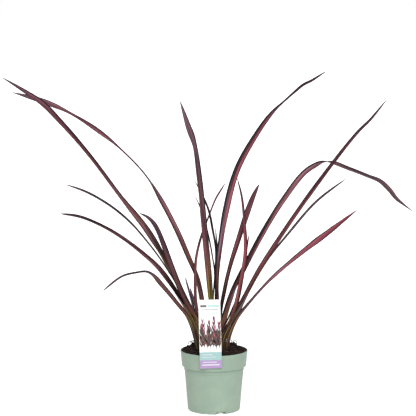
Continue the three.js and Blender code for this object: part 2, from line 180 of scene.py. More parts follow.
pot_bm = turned([
    (0, 0), (PAD_RADIUS, 0), (0.0175, FLOOR_UNDER), (0.046, FLOOR_UNDER), (RING_RADIUS, 0),
    (FOOT_RADIUS - 0.0032, 0), (FOOT_RADIUS - 0.0012, 0.0007), (FOOT_RADIUS - 0.0002, 0.0026),
    (BODY_TOP_RADIUS - 0.0009, BODY_TOP_Z - 0.0048), (BODY_TOP_RADIUS, BODY_TOP_Z - 0.0040),
    (BODY_TOP_RADIUS, BODY_TOP_Z), (BODY_TOP_RADIUS + 0.0004, BODY_TOP_Z + 0.0022),
    (COLLAR_FOOT_RADIUS - 0.002, COLLAR_FOOT_Z - 0.0024),
    (COLLAR_FOOT_RADIUS - 0.0005, COLLAR_FOOT_Z - 0.0014),
    (COLLAR_FOOT_RADIUS, COLLAR_FOOT_Z + 0.0004),
    (RIM_RADIUS - 0.0005, POT_HEIGHT - 0.0045), (RIM_RADIUS - 0.0001, POT_HEIGHT - 0.0038),
    (RIM_RADIUS, POT_HEIGHT - 0.0007), (RIM_RADIUS - 0.0003, POT_HEIGHT - 0.0002),
    (RIM_RADIUS - 0.0007, POT_HEIGHT), (RIM_RADIUS - WALL + 0.0003, POT_HEIGHT),
    (RIM_RADIUS - WALL, POT_HEIGHT - 0.0005),
    (inner_wall(COLLAR_FOOT_Z), COLLAR_INSIDE_Z), (inner_wall(BODY_TOP_Z), BODY_INSIDE_Z),
    (inner_wall(FLOOR_TOP + FLOOR_FILLET), FLOOR_TOP + FLOOR_FILLET),
    (inner_wall(FLOOR_TOP) - FLOOR_FILLET, FLOOR_TOP), (0, FLOOR_TOP),
], POT_STEPS)

cutter_bm = bmesh.new()
for i in range(NOTCHES):
    notch = Matrix.Rotation(NOTCH_TURN + i * math.tau / NOTCHES, 4, "Z")
    notch @= Matrix.Translation((FOOT_RADIUS, 0, 0)) @ Matrix.Diagonal(NOTCH_SIZE.to_4d())
    bmesh.ops.create_cube(cutter_bm, size=1, matrix=notch)
bmesh.ops.bevel(
    cutter_bm, geom=cutter_bm.edges[:], offset=NOTCH_ROUNDING, offset_type="OFFSET", segments=3,
    profile=0.5, affect="EDGES", material=-1,
)
for i in range(DRAIN_HOLES):
    hole = Matrix.Rotation(NOTCH_TURN + i * math.tau / DRAIN_HOLES, 4, "Z")
    hole @= Matrix.Translation((DRAIN_CIRCLE, 0, FLOOR_UNDER))
    bmesh.ops.create_cone(
        cutter_bm, cap_ends=True, segments=32, radius1=DRAIN_RADIUS, radius2=DRAIN_RADIUS,
        depth=2 * FLOOR_TOP, matrix=hole,
    )


def cut(bm, cutter_bm):
    """The mesh less the cutter, as a new mesh."""
    scene = bpy.context.scene
    blank = bpy.data.objects.new("blank", bpy.data.meshes.new("blank"))
    tool = bpy.data.objects.new("tool", bpy.data.meshes.new("tool"))
    for obj, source in ((blank, bm), (tool, cutter_bm)):
        source.to_mesh(obj.data)
        source.free()
        scene.collection.objects.link(obj)
    boolean = blank.modifiers.new("cut", "BOOLEAN")
    boolean.operation, boolean.object, boolean.solver = "DIFFERENCE", tool, "EXACT"
    cut_bm = bmesh.new()
    cut_bm.from_object(blank, bpy.context.evaluated_depsgraph_get())
    for obj in (blank, tool):
        bpy.data.meshes.remove(obj.data)
    return cut_bm


sage, tree, surface = finish("sage_plastic", 0.5, 0.12)
place = place_of(tree)
haze = ramp(tree, grain(tree, place, 34), 0.35, 0.7)
tone = blend(tree, haze, colour(126, 142, 129), colour(130, 146, 131))
height = add(tree, "SeparateXYZ", {0: place}).outputs[2]
low_down = ramp(tree, height, 0.02, 0.0, 0, 0.5)
dust = reckon(tree, "MULTIPLY", low_down, ramp(tree, grain(tree, place, 240), 0.45, 0.7))
tone = blend(tree, dust, tone, colour(118, 122, 106))
tree.links.new(tone, surface.inputs["Base Color"])
rubbed = ramp(tree, grain(tree, place, 90), 0.3, 0.7, 0.44, 0.56)
tree.links.new(rubbed, surface.inputs["Roughness"])
relief(tree, surface, grain(tree, place, 900, 2), 0.00003)

piece("nursery_pot", cut(pot_bm, cutter_bm), [sage], ["pot"])


# Potting soil.
# Composted bark, peat and a little root fibre, pressed into the pot up to its rim and heaped round
# the plant. Coarser crumbs, flakes of bark and hair-thin roots lie loose on top of it.
SOIL_EDGE_Z = 0.1252
SOIL_MOUND = 0.008
SOIL_LUMP = 0.0009
SOIL_CLEAR = 0.00045
SOIL_COARSE = 0.0014
SOIL_FINE = 0.0009
LEVEL_RIM = 0.004
SOIL_RINGS = 46
SOIL_STEPS = 160
CRUMBS = 1500
CRUMB_RADII = (0.0005, 0.0014)
FLAKES = 420
SMALL_CLODS = 60
ROOTS = 130
ROOT_RADII = (0.00012, 0.0003)
ROOT_STRIDES = (0.0012, 0.0026)
FLAKE_SIZE = Vector((0.0058, 0.0026, 0.0011))
CLOD_RADIUS = 0.0038
CLODS = [
    (0.026, 0.046), (0.031, 0.049), (0.036, 0.045), (0.041, 0.046), (0.046, 0.041), (0.033, 0.038),
    (0.044, 0.033), (-0.036, 0.044), (-0.044, 0.038), (-0.030, 0.047), (0.030, -0.006),
    (0.035, 0.006), (0.042, -0.003), (0.049, 0.005), (0.034, -0.018), (0.046, 0.016),
    (0.040, 0.024), (0.051, -0.012), (0.030, 0.016),
]
CURLS = [
    (-0.050, 0.034, 0.5), (-0.045, 0.040, 2.7), (-0.040, 0.043, 0.2), (-0.036, 0.046, 2.2),
    (-0.031, 0.048, 0.6), (0.034, 0.047, 0.4), (0.044, 0.042, 2.6),
]
CURL_RADIUS = 0.0044
CURL_THREAD = 0.0009
draw = random.Random(7)


def soil_top(x, y):
    """Height of the heaped soil at a place."""
    share = min(1, math.hypot(x, y) / RIM_RADIUS)
    lumps = math.sin(310 * x + 1.1) * math.cos(270 * y) + 0.6 * math.sin(500 * y - 430 * x)
    heap = SOIL_MOUND * (1 - share * share) * (0.7 + 0.5 * y / RIM_RADIUS)
    return SOIL_EDGE_Z + heap + SOIL_LUMP * lumps * (1 - share ** 6)


floor_z = FLOOR_TOP + SOIL_CLEAR
edge = inner_wall(SOIL_EDGE_Z) - SOIL_CLEAR
soil_bm = turned([
    (0, floor_z), (inner_wall(FLOOR_TOP) - FLOOR_FILLET - SOIL_CLEAR, floor_z),
    (inner_wall(FLOOR_TOP + FLOOR_FILLET) - SOIL_CLEAR, FLOOR_TOP + FLOOR_FILLET + SOIL_CLEAR),
    (inner_wall(BODY_TOP_Z) - SOIL_CLEAR, BODY_INSIDE_Z + SOIL_CLEAR),
    (inner_wall(COLLAR_FOOT_Z) - SOIL_CLEAR, COLLAR_INSIDE_Z + SOIL_CLEAR),
    (edge, SOIL_EDGE_Z - 0.001),
    *[(edge * (1 - (i / SOIL_RINGS) ** 1.2), SOIL_EDGE_Z) for i in range(SOIL_RINGS + 1)],
], SOIL_STEPS)
for vert in soil_bm.verts:
    if vert.co.z > SOIL_EDGE_Z - 0.0005:
        fine = SOIL_COARSE * noise.noise(vert.co * 200) + SOIL_FINE * noise.noise(vert.co * 520)
        inside = min(1, (edge - math.hypot(vert.co.x, vert.co.y)) / LEVEL_RIM)
        vert.co.z = soil_top(vert.co.x, vert.co.y) + fine * inside


def soil_finish(name, dark, light, size, depth):
    """Damp, dull organic matter of two colours, with its own lightness for each crumb."""
    material, tree, surface = finish(name, 0.92, 0.25)
    place = place_of(tree)
    crumb = add(tree, "Attribute", {}, attribute_name="tone").outputs["Fac"]
    mottle = reckon(tree, "ADD", ramp(tree, grain(tree, place, size, 5), 0.35, 0.75, 0, 0.6), crumb)
    tree.links.new(blend(tree, mottle, dark, light), surface.inputs["Base Color"])
    relief(tree, surface, grain(tree, place, 3 * size, 4), depth)
    return material


peat = soil_finish("damp_peat", colour(7, 4, 5), colour(31, 18, 15), 200, 0.0014)
bark = soil_finish("composted_bark", colour(9, 5, 5), colour(54, 31, 24), 420, 0.0003)
piece("potting_soil", soil_bm, [peat], ["soil"], crease=180)


def scatter(clear):
    """A random place on the soil, a margin inside the pot's wall."""
    radius = (edge - clear) * math.sqrt(draw.random())
    turn = draw.uniform(0, math.tau)
    x, y = radius * math.cos(turn), radius * math.sin(turn)
    return Vector((x, y, soil_top(x, y)))


def tumbled(steep):
    """A random turn, lying more or less flat."""
    lean, roll = (Matrix.Rotation(draw.uniform(-steep, steep), 4, axis) for axis in "XY")
    return Matrix.Rotation(draw.uniform(0, math.tau), 4, "Z") @ lean @ roll


litter_bm = bmesh.new()
tone_layer = litter_bm.verts.layers.float.new("tone")


def crumble(verts, rough, tone):
    """Knocks the corners of one new crumb or flake out of true, and gives it its own lightness."""
    for vert in verts:
        vert.co += Vector(draw.uniform(-rough, rough) for _ in range(3))
        vert[tone_layer] = tone


for _ in range(CRUMBS):
    size = draw.uniform(*CRUMB_RADII) * draw.choice((1, 1, 1.5))
    matrix = Matrix.Translation(scatter(size)) @ tumbled(math.pi)
    matrix @= Matrix.Diagonal((1, draw.uniform(0.6, 1), 0.7, 1))
    made = bmesh.ops.create_icosphere(litter_bm, subdivisions=1, radius=size, matrix=matrix)
    crumble(made["verts"], size * 0.3, draw.uniform(0, 0.25))
for _ in range(FLAKES):
    size = FLAKE_SIZE * draw.uniform(0.4, 1.2)
    matrix = Matrix.Translation(scatter(size.x / 2)) @ tumbled(0.5) @ Matrix.Diagonal(size.to_4d())
    made = bmesh.ops.create_cube(litter_bm, size=1, matrix=matrix)
    crumble(made["verts"], size.z * 0.45, draw.choice((0.05, 0.15, 0.2, 0.5)))
clods = [(x, y, CLOD_RADIUS) for x, y in CLODS]
clods += [(*scatter(0.004).xy, CLOD_RADIUS * 0.6) for _ in range(SMALL_CLODS)]
for x, y, largest in clods:
    size = largest * draw.uniform(0.7, 1.05)
    matrix = Matrix.Translation((x, y, soil_top(x, y) + size * 0.4)) @ tumbled(math.pi)
    made = bmesh.ops.create_icosphere(litter_bm, subdivisions=3, radius=size, matrix=matrix)
    for vert in made["verts"]:
        vert.co += (vert.co - matrix.translation) * noise.noise(vert.co * 420) * 0.9
    crumble(made["verts"], size * 0.04, draw.uniform(0, 0.1))
piece("bark_and_crumbs", litter_bm, [bark], crease=30)


def thread(bm, points, radius, tone_layer, tone):
    """A hair-thin root: a four-sided section drawn along its points, square to each stretch."""
    section = bmesh.ops.create_circle(bm, cap_ends=True, segments=4, radius=radius)["verts"]
    face = section[0].link_faces[0]
    made = list(section)
    facing, place = Vector((0, 0, 1)), Vector()
    stretches = [after - before for before, after in zip(points, points[1:])]
    for i, point in enumerate(points):
        if i:
            grown = bmesh.ops.extrude_face_region(bm, geom=[face, *face.edges])["geom"]
            section = [g for g in grown if isinstance(g, bmesh.types.BMVert)]
            face = next(g for g in grown if isinstance(g, bmesh.types.BMFace))
            made += section
        heading = stretches[min(i, len(stretches) - 1)]
        turn = facing.rotation_difference(heading).to_matrix().to_4x4()
        matrix = Matrix.Translation(point) @ turn @ Matrix.Translation(-place)
        bmesh.ops.transform(bm, verts=section, matrix=matrix)
        facing, place = heading, point
    for vert in made:
        vert[tone_layer] = tone


roots_bm = bmesh.new()
root_tone = roots_bm.verts.layers.float.new("tone")
for _ in range(ROOTS):
    spot = scatter(0.008)
    heading = draw.uniform(0, math.tau)
    points = [spot - Vector((0, 0, 0.0012))]
    for _ in range(6):
        heading += draw.uniform(-0.7, 0.7)
        stride = Vector((math.cos(heading), math.sin(heading), 0)) * draw.uniform(*ROOT_STRIDES)
        x, y = (points[-1] + stride).xy
        points.append(Vector((x, y, soil_top(x, y) + draw.uniform(0, 0.0012))))
    thread(roots_bm, points, draw.uniform(*ROOT_RADII), root_tone, draw.uniform(0, 0.6))
for x, y, heading in CURLS:
    middle = Vector((x, y, soil_top(x, y) + CURL_RADIUS * 1.2))
    facing = Vector((math.cos(heading), math.sin(heading), 0))
    points = []
    for i in range(10):
        turn = math.radians(-30 + 27 * i)
        outward = facing * math.cos(turn) + Vector((0, 0, math.sin(turn)))
        points.append(middle + outward * CURL_RADIUS)
    thread(roots_bm, points, CURL_THREAD, root_tone, 0.5)
bmesh.ops.recalc_face_normals(roots_bm, faces=roots_bm.faces)
fibre = soil_finish("root_fibre", colour(52, 38, 32), colour(128, 104, 94), 500, 0.0001)
piece("loose_roots", roots_bm, [fibre], crease=80)


# Care label.
# A die-cut plastic card in front of the pot, printed in pale mint and lilac, with a plain row of
# sprigs as its picture. A tongue from its back hooks over the rim, and its leg stands in the soil.
CARD_WIDTH = 0.0445
CARD_HEIGHT = 0.1415
CARD_THICK = 0.0008
CARD_PLACE = Vector((-0.0082, 0, 0.172))
CARD_TILT = math.radians(-1.5)
CARD_CORNER = 0.0025
CARD_BACK_Y = -RIM_RADIUS - 0.0004
LEG_WIDTH = 0.014
LEG_THICK = 0.001
LEG_FOOT_Z = 0.097
LEG_Y = -0.0622
BRIDGE_Z = 0.1264
PRINT = [
    (0.000, 0.119, colour(145, 120, 161)), (0.119, 0.238, colour(132, 164, 161)),
    (0.238, 1.000, colour(216, 216, 215)),
]
label_turn = Matrix.Translation(CARD_PLACE) @ Matrix.Rotation(CARD_TILT, 4, "Y")

card_bm = bmesh.new()
upright = Matrix.Rotation(math.pi / 2, 4, "X") @ Matrix.Diagonal((CARD_WIDTH, CARD_HEIGHT, 1, 1))
bmesh.ops.create_grid(card_bm, x_segments=1, y_segments=1, size=0.5, matrix=upright)
bmesh.ops.bevel(
    card_bm, geom=card_bm.verts[:], offset=CARD_CORNER, offset_type="OFFSET", segments=8,
    profile=0.5, affect="VERTICES", material=-1,
)
for start, _, _ in PRINT[1:]:
    bmesh.ops.bisect_plane(
        card_bm, geom=card_bm.verts[:] + card_bm.edges[:] + card_bm.faces[:], dist=1e-7,
        plane_co=(0, 0, (start - 0.5) * CARD_HEIGHT), plane_no=(0, 0, 1),
    )
for face in card_bm.faces:
    share = face.calc_center_median().z / CARD_HEIGHT + 0.5
    face.material_index = next(i for i, band in enumerate(PRINT) if band[0] <= share <= band[1])
front = card_bm.faces[:]
grown = bmesh.ops.extrude_face_region(card_bm, geom=front, use_keep_orig=True)["geom"]
back = [g for g in grown if isinstance(g, bmesh.types.BMVert)]
bmesh.ops.translate(card_bm, verts=back, vec=(0, CARD_THICK, 0))
for face in card_bm.faces:
    if face not in front:
        face.material_index = len(PRINT) - 1
bmesh.ops.translate(card_bm, verts=card_bm.verts, vec=(0, CARD_BACK_Y - CARD_THICK, 0))

hook_bm = bmesh.new()
strip = [
    (CARD_BACK_Y - 0.0001, BRIDGE_Z - 0.003), (CARD_BACK_Y + 0.0004, BRIDGE_Z - 0.0004),
    (CARD_BACK_Y + 0.0018, BRIDGE_Z + 0.0005), (LEG_Y - 0.0022, BRIDGE_Z + 0.0005),
    (LEG_Y - 0.0006, BRIDGE_Z - 0.0002), (LEG_Y, BRIDGE_Z - 0.002), (LEG_Y, LEG_FOOT_Z + 0.006),
    (LEG_Y, LEG_FOOT_Z),
]
line = [hook_bm.verts.new((-LEG_WIDTH / 2, y, z - CARD_PLACE.z)) for y, z in strip]
edges = [hook_bm.edges.new(pair) for pair in zip(line, line[1:])]
grown = bmesh.ops.extrude_edge_only(hook_bm, edges=edges)["geom"]
far_edge = [g for g in grown if isinstance(g, bmesh.types.BMVert)]
bmesh.ops.translate(hook_bm, verts=far_edge, vec=(LEG_WIDTH, 0, 0))
bmesh.ops.recalc_face_normals(hook_bm, faces=hook_bm.faces)
bmesh.ops.solidify(hook_bm, geom=hook_bm.faces[:], thickness=LEG_THICK * 0.6)
for face in hook_bm.faces:
    face.material_index = len(PRINT) - 1
hook_mesh = bpy.data.meshes.new("hook")
hook_bm.to_mesh(hook_mesh)
hook_bm.free()
card_bm.from_mesh(hook_mesh)
bpy.data.meshes.remove(hook_mesh)
bmesh.ops.recalc_face_normals(card_bm, faces=card_bm.faces)
bmesh.ops.transform(card_bm, verts=card_bm.verts, matrix=label_turn)


def ink(name, shade):
    """Printed plastic card with a soft gloss and a faint grain."""
    material, tree, surface = finish(name, 0.35)
    place = place_of(tree)
    wear = ramp(tree, grain(tree, place, 120, 4), 0.55, 0.8, 0, 0.12)
    worn = blend(tree, wear, shade, colour(180, 178, 174))
    tree.links.new(worn, surface.inputs["Base Color"])
    relief(tree, surface, grain(tree, place, 1400, 2), 0.00001)
    return material


card_inks = [ink(f"card_ink_{i}", shade) for i, (_, _, shade) in enumerate(PRINT)]
piece("care_label", card_bm, card_inks, ["label"])

MOTIF_LIFT = 0.00006
MOTIF_STEP = 0.00002
PRINT_MARGIN = 0.0006
PRINT_THICK = MOTIF_LIFT * 0.8
PRINT_Y = CARD_BACK_Y - CARD_THICK - MOTIF_LIFT
SPRIGS = [
    (-0.0178, 0.050, 2), (-0.0118, 0.062, -3), (-0.0058, 0.046, 3), (0.0002, 0.058, -2),
    (0.0062, 0.068, 2), (0.0122, 0.044, -3), (0.0180, 0.056, 1),
]
SPRIG_FOOT = 0.27
SPRIG_STEM = 0.0034
SPRIG_PAIRS = 6
SPRIG_LEAF = 0.021
SPRIG_INKS = [1, 0, 4, 1, 0, 2, 0, 3]
BARS = [
    (-0.0185, -0.0060, 0.893, 0.925, 5), (-0.0040, 0.0200, 0.896, 0.924, 6),
    (-0.0180, 0.0170, 0.853, 0.860, 5), (-0.0185, 0.0190, 0.793, 0.801, 6),
    (-0.0165, 0.0120, 0.084, 0.096, 7), (-0.0180, 0.0175, 0.042, 0.060, 7),
    (-0.0180, 0.0040, 0.196, 0.206, 7), (-0.0180, 0.0110, 0.160, 0.168, 7),
]
motif_bm = bmesh.new()


def lay_flat(made, x, share, turn, size, layer):
    """Puts a flat shape on the face of the card and gives its face back."""
    place = (
        Matrix.Translation((x, PRINT_Y - MOTIF_STEP * layer, (share - 0.5) * CARD_HEIGHT))
        @ Matrix.Rotation(math.radians(turn), 4, "Y") @ Matrix.Rotation(math.pi / 2, 4, "X")
        @ Matrix.Diagonal((*size, 1, 1))
    )
    bmesh.ops.transform(motif_bm, verts=made, matrix=place)
    return made[0].link_faces[0]


def printed_leaf(x, share, turn, length, width, layer):
    """One flat pointed leaf of a printed sprig, on its foot."""
    made = bmesh.ops.create_circle(motif_bm, cap_ends=True, segments=20, radius=1)["verts"]
    for vert in made:
        vert.co.x *= 1 - abs(vert.co.y) ** 1.5
        vert.co.y += 1
    return lay_flat(made, x, share, turn, (width / 2, length / 2), layer)


for layer, (x, tall, lean) in enumerate(SPRIGS):
    along = Vector((math.sin(math.radians(lean)), math.cos(math.radians(lean)) / CARD_HEIGHT))
    printed_leaf(x, SPRIG_FOOT - 0.02, lean, tall, SPRIG_STEM, layer).material_index = 0
    for i in range(SPRIG_PAIRS):
        spot = Vector((x, SPRIG_FOOT)) + along * tall * (0.1 + 0.15 * i)
        size = SPRIG_LEAF * (1 - 0.06 * i)
        for side in (-1, 1):
            turn = lean + side * (20 - 2 * i) + draw.uniform(-6, 6)
            wide = size * draw.uniform(0.15, 0.24)
            blade = printed_leaf(*spot, turn, size * draw.uniform(0.85, 1.1), wide, layer + 0.5)
            blade.material_index = SPRIG_INKS[i + (layer + (side > 0)) % 3]
for left, right, low, high, shade in BARS:
    made = bmesh.ops.create_grid(motif_bm, x_segments=1, y_segments=1, size=0.5)["verts"]
    size = (right - left, (high - low) * CARD_HEIGHT)
    bar = lay_flat(made, (left + right) / 2, (low + high) / 2, 0, size, len(SPRIGS) + (shade > 5))
    bar.material_index = shade
for side in (-1, 1):
    bmesh.ops.bisect_plane(
        motif_bm, geom=motif_bm.verts[:] + motif_bm.edges[:] + motif_bm.faces[:], dist=1e-7,
        plane_co=(side * (CARD_WIDTH / 2 - PRINT_MARGIN), 0, 0), plane_no=(side, 0, 0),
        clear_outer=True,
    )
bmesh.ops.solidify(motif_bm, geom=motif_bm.faces[:], thickness=PRINT_THICK)
bmesh.ops.transform(motif_bm, verts=motif_bm.verts, matrix=label_turn)
motif_inks = [
    ink("ink_plum", colour(66, 36, 38)), ink("ink_olive", colour(42, 35, 26)),
    ink("ink_rose", colour(142, 66, 84)), ink("ink_pink", colour(176, 112, 148)),
    ink("ink_brown", colour(92, 58, 50)), ink("ink_grey", colour(92, 92, 94)),
    ink("ink_mint", colour(150, 186, 182)), ink("ink_white", colour(188, 184, 194)),
]
piece("label_print", motif_bm, motif_inks)


# Left fan of leaves.
# Each leaf is one tough ribbed blade, folded along its keel. Its foot clasps the next leaf of its
# fan and stands in the soil, and further up it opens to a shallow V, arches over and tapers.
BLADE_THICK = 0.00062
KEEL_ROUND = 0.09
FOLD_AT_FOOT = 82
FOLD_OPEN_FROM = 0.1
FOLD_OPEN_BY = 0.42
SHEATH_EXTRA = 0.4
SHEATH_TO = 0.16
TURN_FROM = 0.08
TAPER_FROM = 0.52
TAPER_POWER = 12
TIP_ARM = 0.0005
TIP_POINT = 0.0001
TIP_LENGTH = 0.0035
BOW = 0.05
# Painted shade along the keel: how dark it is on an open blade and on a blade folded shut.
KEEL_SHADE_FLAT = 0.3
KEEL_SHADE_FOLDED = 0.85
MARGIN_WIDENS = (0.15, 0.45)
MARGIN_AT_FOOT = 0.35
RIPPLE_DEGREES = 5
RIBS = 22
STATION_STEP = 0.004
SECTION_STEPS = 40
CURVE_STEPS = 24

LEFT_LEAVES = [
    {"name": "left_leaf_1", "fold": 30, "turn": [90, 75, 35, 5, 90, 80, 70],
     "arm": [0.006, 0.006, 0.0056, 0.0053, 0.0064, 0.0057, 0.0061],
     "left": [0.05, 0.15, 0.6, 0.45, 0.2, 0.35],
     "right": [0.05, 0.12, 0.65, 0.45, 0.2, 0.35],
     "margin": (0.2, 0.25), "bloom_and_sheen": [0.1, 0.1, 0.5, 0.8],
     "flush": [0, 0], "olive": [1.0, 0.7, 0.4, 0.15, 0],
     "route": [(-0.031, -0.012, 0.098), (-0.038, -0.013, 0.149), (-0.053, -0.014, 0.1915),
               (-0.082, -0.024, 0.2345), (-0.114, -0.048, 0.278), (-0.129, -0.06, 0.294),
               (-0.139, -0.07, 0.3), (-0.158, -0.084, 0.3), (-0.185, -0.102, 0.295),
               (-0.222, -0.128, 0.27)]},
    {"name": "left_leaf_2", "fold": 35, "turn": [90, 60, 25, 45, 60, 55],
     "arm": [0.006, 0.0065, 0.0076, 0.006, 0.0058, 0.006, 0.0062],
     "left": [0.3, 0.4, 1.0, 0.95, 0.5, 0.3, 0.2],
     "right": [0.3, 0.4, 0.3, 0.45, 0.35, 0.15, 0.15],
     "margin": (0.15, 0.2), "bloom_and_sheen": [0.1, 0.2, 0.2, 0.6],
     "flush": [0, 0], "olive": [1.0, 0.55, 0.2, 0, 0],
     "route": [(-0.03, 0.0, 0.098), (-0.031, 0.002, 0.152), (-0.05, 0.0045, 0.1965),
               (-0.075, 0.009, 0.2375), (-0.114, 0.03, 0.291), (-0.15, 0.056, 0.32),
               (-0.2, 0.095, 0.351), (-0.244, 0.126, 0.371), (-0.288, 0.158, 0.384),
               (-0.334, 0.19, 0.388)]},
    {"name": "left_leaf_3", "fold": 40, "turn": [90, 85, 85, 70, 60],
     "arm": [0.004, 0.004, 0.004, 0.0046, 0.005, 0.005, 0.005],
     "left": [0.3, 0.6, 0.5, 0.15, 0.1, 0.3],
     "right": [0.2, 0.45, 0.4, 0.1, 0.05, 0.25],
     "margin": (0.2, 0.25), "bloom_and_sheen": [0.1, 0.5, 0.9],
     "flush": [0, 0], "olive": [1.0, 0.65, 0.2, 0],
     "route": [(-0.028, -0.008, 0.098), (-0.029, -0.008, 0.154), (-0.05, -0.008, 0.2025),
               (-0.072, -0.009, 0.254), (-0.099, -0.018, 0.301), (-0.132, -0.048, 0.353),
               (-0.17, -0.084, 0.403), (-0.208, -0.118, 0.44), (-0.25, -0.148, 0.469),
               (-0.291, -0.172, 0.488)]},
    {"name": "left_leaf_4", "fold": 35, "turn": [90, 85, 55, 10, 60, 60, 50, 35, 50],
     "arm": [0.0077, 0.0078, 0.0084, 0.0078, 0.008, 0.0082, 0.0058],
     "left": [0.3, 0.4, 0.35, 0.8, 1.1, 1.05, 0.95, 0.4, 0.4, 0.25],
     "right": [0.15, 0.15, 0.2, 0.25, 0.5, 0.5, 0.2, 0.3, 0.4, 0.25],
     "margin": (0.15, 0.3), "bloom_and_sheen": [0.1, 0.4, 0.6, 0.3, 0.4, 0.7],
     "flush": [0, 0, 0.1, 0.6, 0.1], "olive": [1.1, 0.75, 0.5, 0.25, 0.1, 0],
     "route": [(-0.025, -0.004, 0.098), (-0.024, -0.004, 0.151), (-0.042, -0.002, 0.1935),
               (-0.069, -0.003, 0.253), (-0.101, -0.002, 0.311), (-0.139, 0.0, 0.377),
               (-0.191, 0.0, 0.442), (-0.255, -0.006, 0.529), (-0.315, -0.014, 0.601),
               (-0.35, -0.02, 0.638), (-0.385, -0.028, 0.663), (-0.429, -0.038, 0.692)]},
    {"name": "left_leaf_5", "fold": 30, "turn": [90, 60, 25, 15, 20, 35, 75],
     "arm": [0.007, 0.007, 0.007, 0.007, 0.0067, 0.0065, 0.0073],
     "left": [0.55, 0.6, 0.4, 0.4, 0.25, 0.3],
     "right": [0.35, 0.35, 0.35, 0.3, 0.3, 0.25],
     "margin": (0.2, 0.3), "bloom_and_sheen": [0, 0.1, 0.3, 0.6],
     "flush": [0.1, 0.2, 0.1], "olive": [1.1, 0.65, 0.3, 0.1, 0],
     "route": [(-0.02, -0.012, 0.098), (-0.022, -0.012, 0.153), (-0.0365, -0.015, 0.1915),
               (-0.056, -0.018, 0.2275), (-0.071, -0.021, 0.26), (-0.088, -0.027, 0.306),
               (-0.105, -0.034, 0.354), (-0.12, -0.04, 0.389), (-0.135, -0.046, 0.407),
               (-0.153, -0.052, 0.418)]},
    {"name": "left_leaf_6", "fold": 45, "turn": [90, 80, 75],
     "arm": [0.003, 0.0034, 0.004, 0.0044, 0.0048, 0.005, 0.0044],
     "left": [0.5, 0.7, 0.7],
     "right": [0.4, 0.6, 0.6],
     "margin": (0.05, 0.05), "bloom_and_sheen": [0.4, 0.9],
     "flush": [0, 0], "olive": [0.4, 0],
     "route": [(-0.021, 0.0, 0.098), (-0.022, 0.001, 0.15), (-0.033, 0.004, 0.1845),
               (-0.044, 0.006, 0.2175), (-0.054, 0.009, 0.254), (-0.06, 0.012, 0.277)]},
    {"name": "left_leaf_7", "fold": 45, "turn": [90, 80, 75],
     "arm": [0.003, 0.0034, 0.004, 0.0044, 0.005, 0.005, 0.0044],
     "left": [0.5, 0.6, 0.7],
     "right": [0.4, 0.5, 0.6],
     "margin": (0.05, 0.05), "bloom_and_sheen": [0.4, 0.9],
     "flush": [0, 0], "olive": [0.4, 0],
     "route": [(-0.015, -0.003, 0.098), (-0.016, -0.003, 0.151), (-0.027, -0.001, 0.1855),
               (-0.038, 0.001, 0.2145), (-0.046, 0.004, 0.241), (-0.05, 0.006, 0.256)]},
    {"name": "left_leaf_8", "fold": 40, "turn": [90, 60, 40, 45, 80, 50],
     "arm": [0.0045, 0.0055, 0.006, 0.005, 0.0047, 0.0044, 0.0049],
     "left": [0.2, 0.6, 0.7, 0.45, 0.5, 0.4],
     "right": [0.3, 0.6, 0.6, 0.5, 0.6, 0.4],
     "margin": (0.08, 0.1), "bloom_and_sheen": [0.1, 0.1, 0.3],
     "flush": [0.2, 0.6], "olive": [0.6, 0.4, 0.2, 0.1],
     "route": [(-0.015, -0.008, 0.098), (-0.021, -0.008, 0.152), (-0.032, -0.007, 0.1905),
               (-0.039, -0.004, 0.2275), (-0.04, 0.002, 0.273), (-0.038, 0.01, 0.316),
               (-0.027, 0.026, 0.361), (-0.011, 0.042, 0.4), (0.004, 0.054, 0.437),
               (0.024, 0.066, 0.468)]},
]


def smooth(value, low, high):
    """0 below low, 1 above high, and a smooth step between them."""
    share = min(max((value - low) / (high - low), 0), 1)
    return share * share * (3 - 2 * share)


def along_list(values, share):
    """Value at a share of the way through evenly spaced values, smooth between them."""
    place = share * (len(values) - 1)
    low = min(int(place), len(values) - 2)
    return values[low] + (values[low + 1] - values[low]) * smooth(place - low, 0, 1)


def stations(route):
    """Even steps along a smooth curve through the route: share, place and direction."""
    route = [Vector(point) for point in route]
    ends = [2 * route[0] - route[1], *route, 2 * route[-1] - route[-2]]
    line = [route[0]]
    for before, start, end, after in zip(ends, ends[1:], ends[2:], ends[3:]):
        gaps = [math.sqrt((b - a).length) for a, b in ((before, start), (start, end), (end, after))]
        first, middle, last = gaps
        onward = (end - start) / middle
        leave = (start - before) / first - (end - before) / (first + middle) + onward
        arrive = onward - (after - start) / (middle + last) + (after - end) / last
        bend = (start + leave * (middle / 3), end - arrive * (middle / 3))
        line += interpolate_bezier(start, *bend, end, CURVE_STEPS)[1:]
    reach = [0]
    for a, b in zip(line, line[1:]):
        reach.append(reach[-1] + (b - a).length)
    count = round(reach[-1] / STATION_STEP)
    found = []
    i = 0
    for k in range(count + 1):
        goal = reach[-1] * k / count
        while i < len(line) - 2 and reach[i + 1] < goal:
            i += 1
        share = (goal - reach[i]) / (reach[i + 1] - reach[i])
        before, after = line[max(i - 1, 0)], line[min(i + 2, len(line) - 1)]
        near = (line[i + 1] - before).normalized()
        far = (after - line[i]).normalized()
        at = line[i].lerp(line[i + 1], share)
        found.append((k / count, at, near.lerp(far, share).normalized()))
    return found, reach[-1]


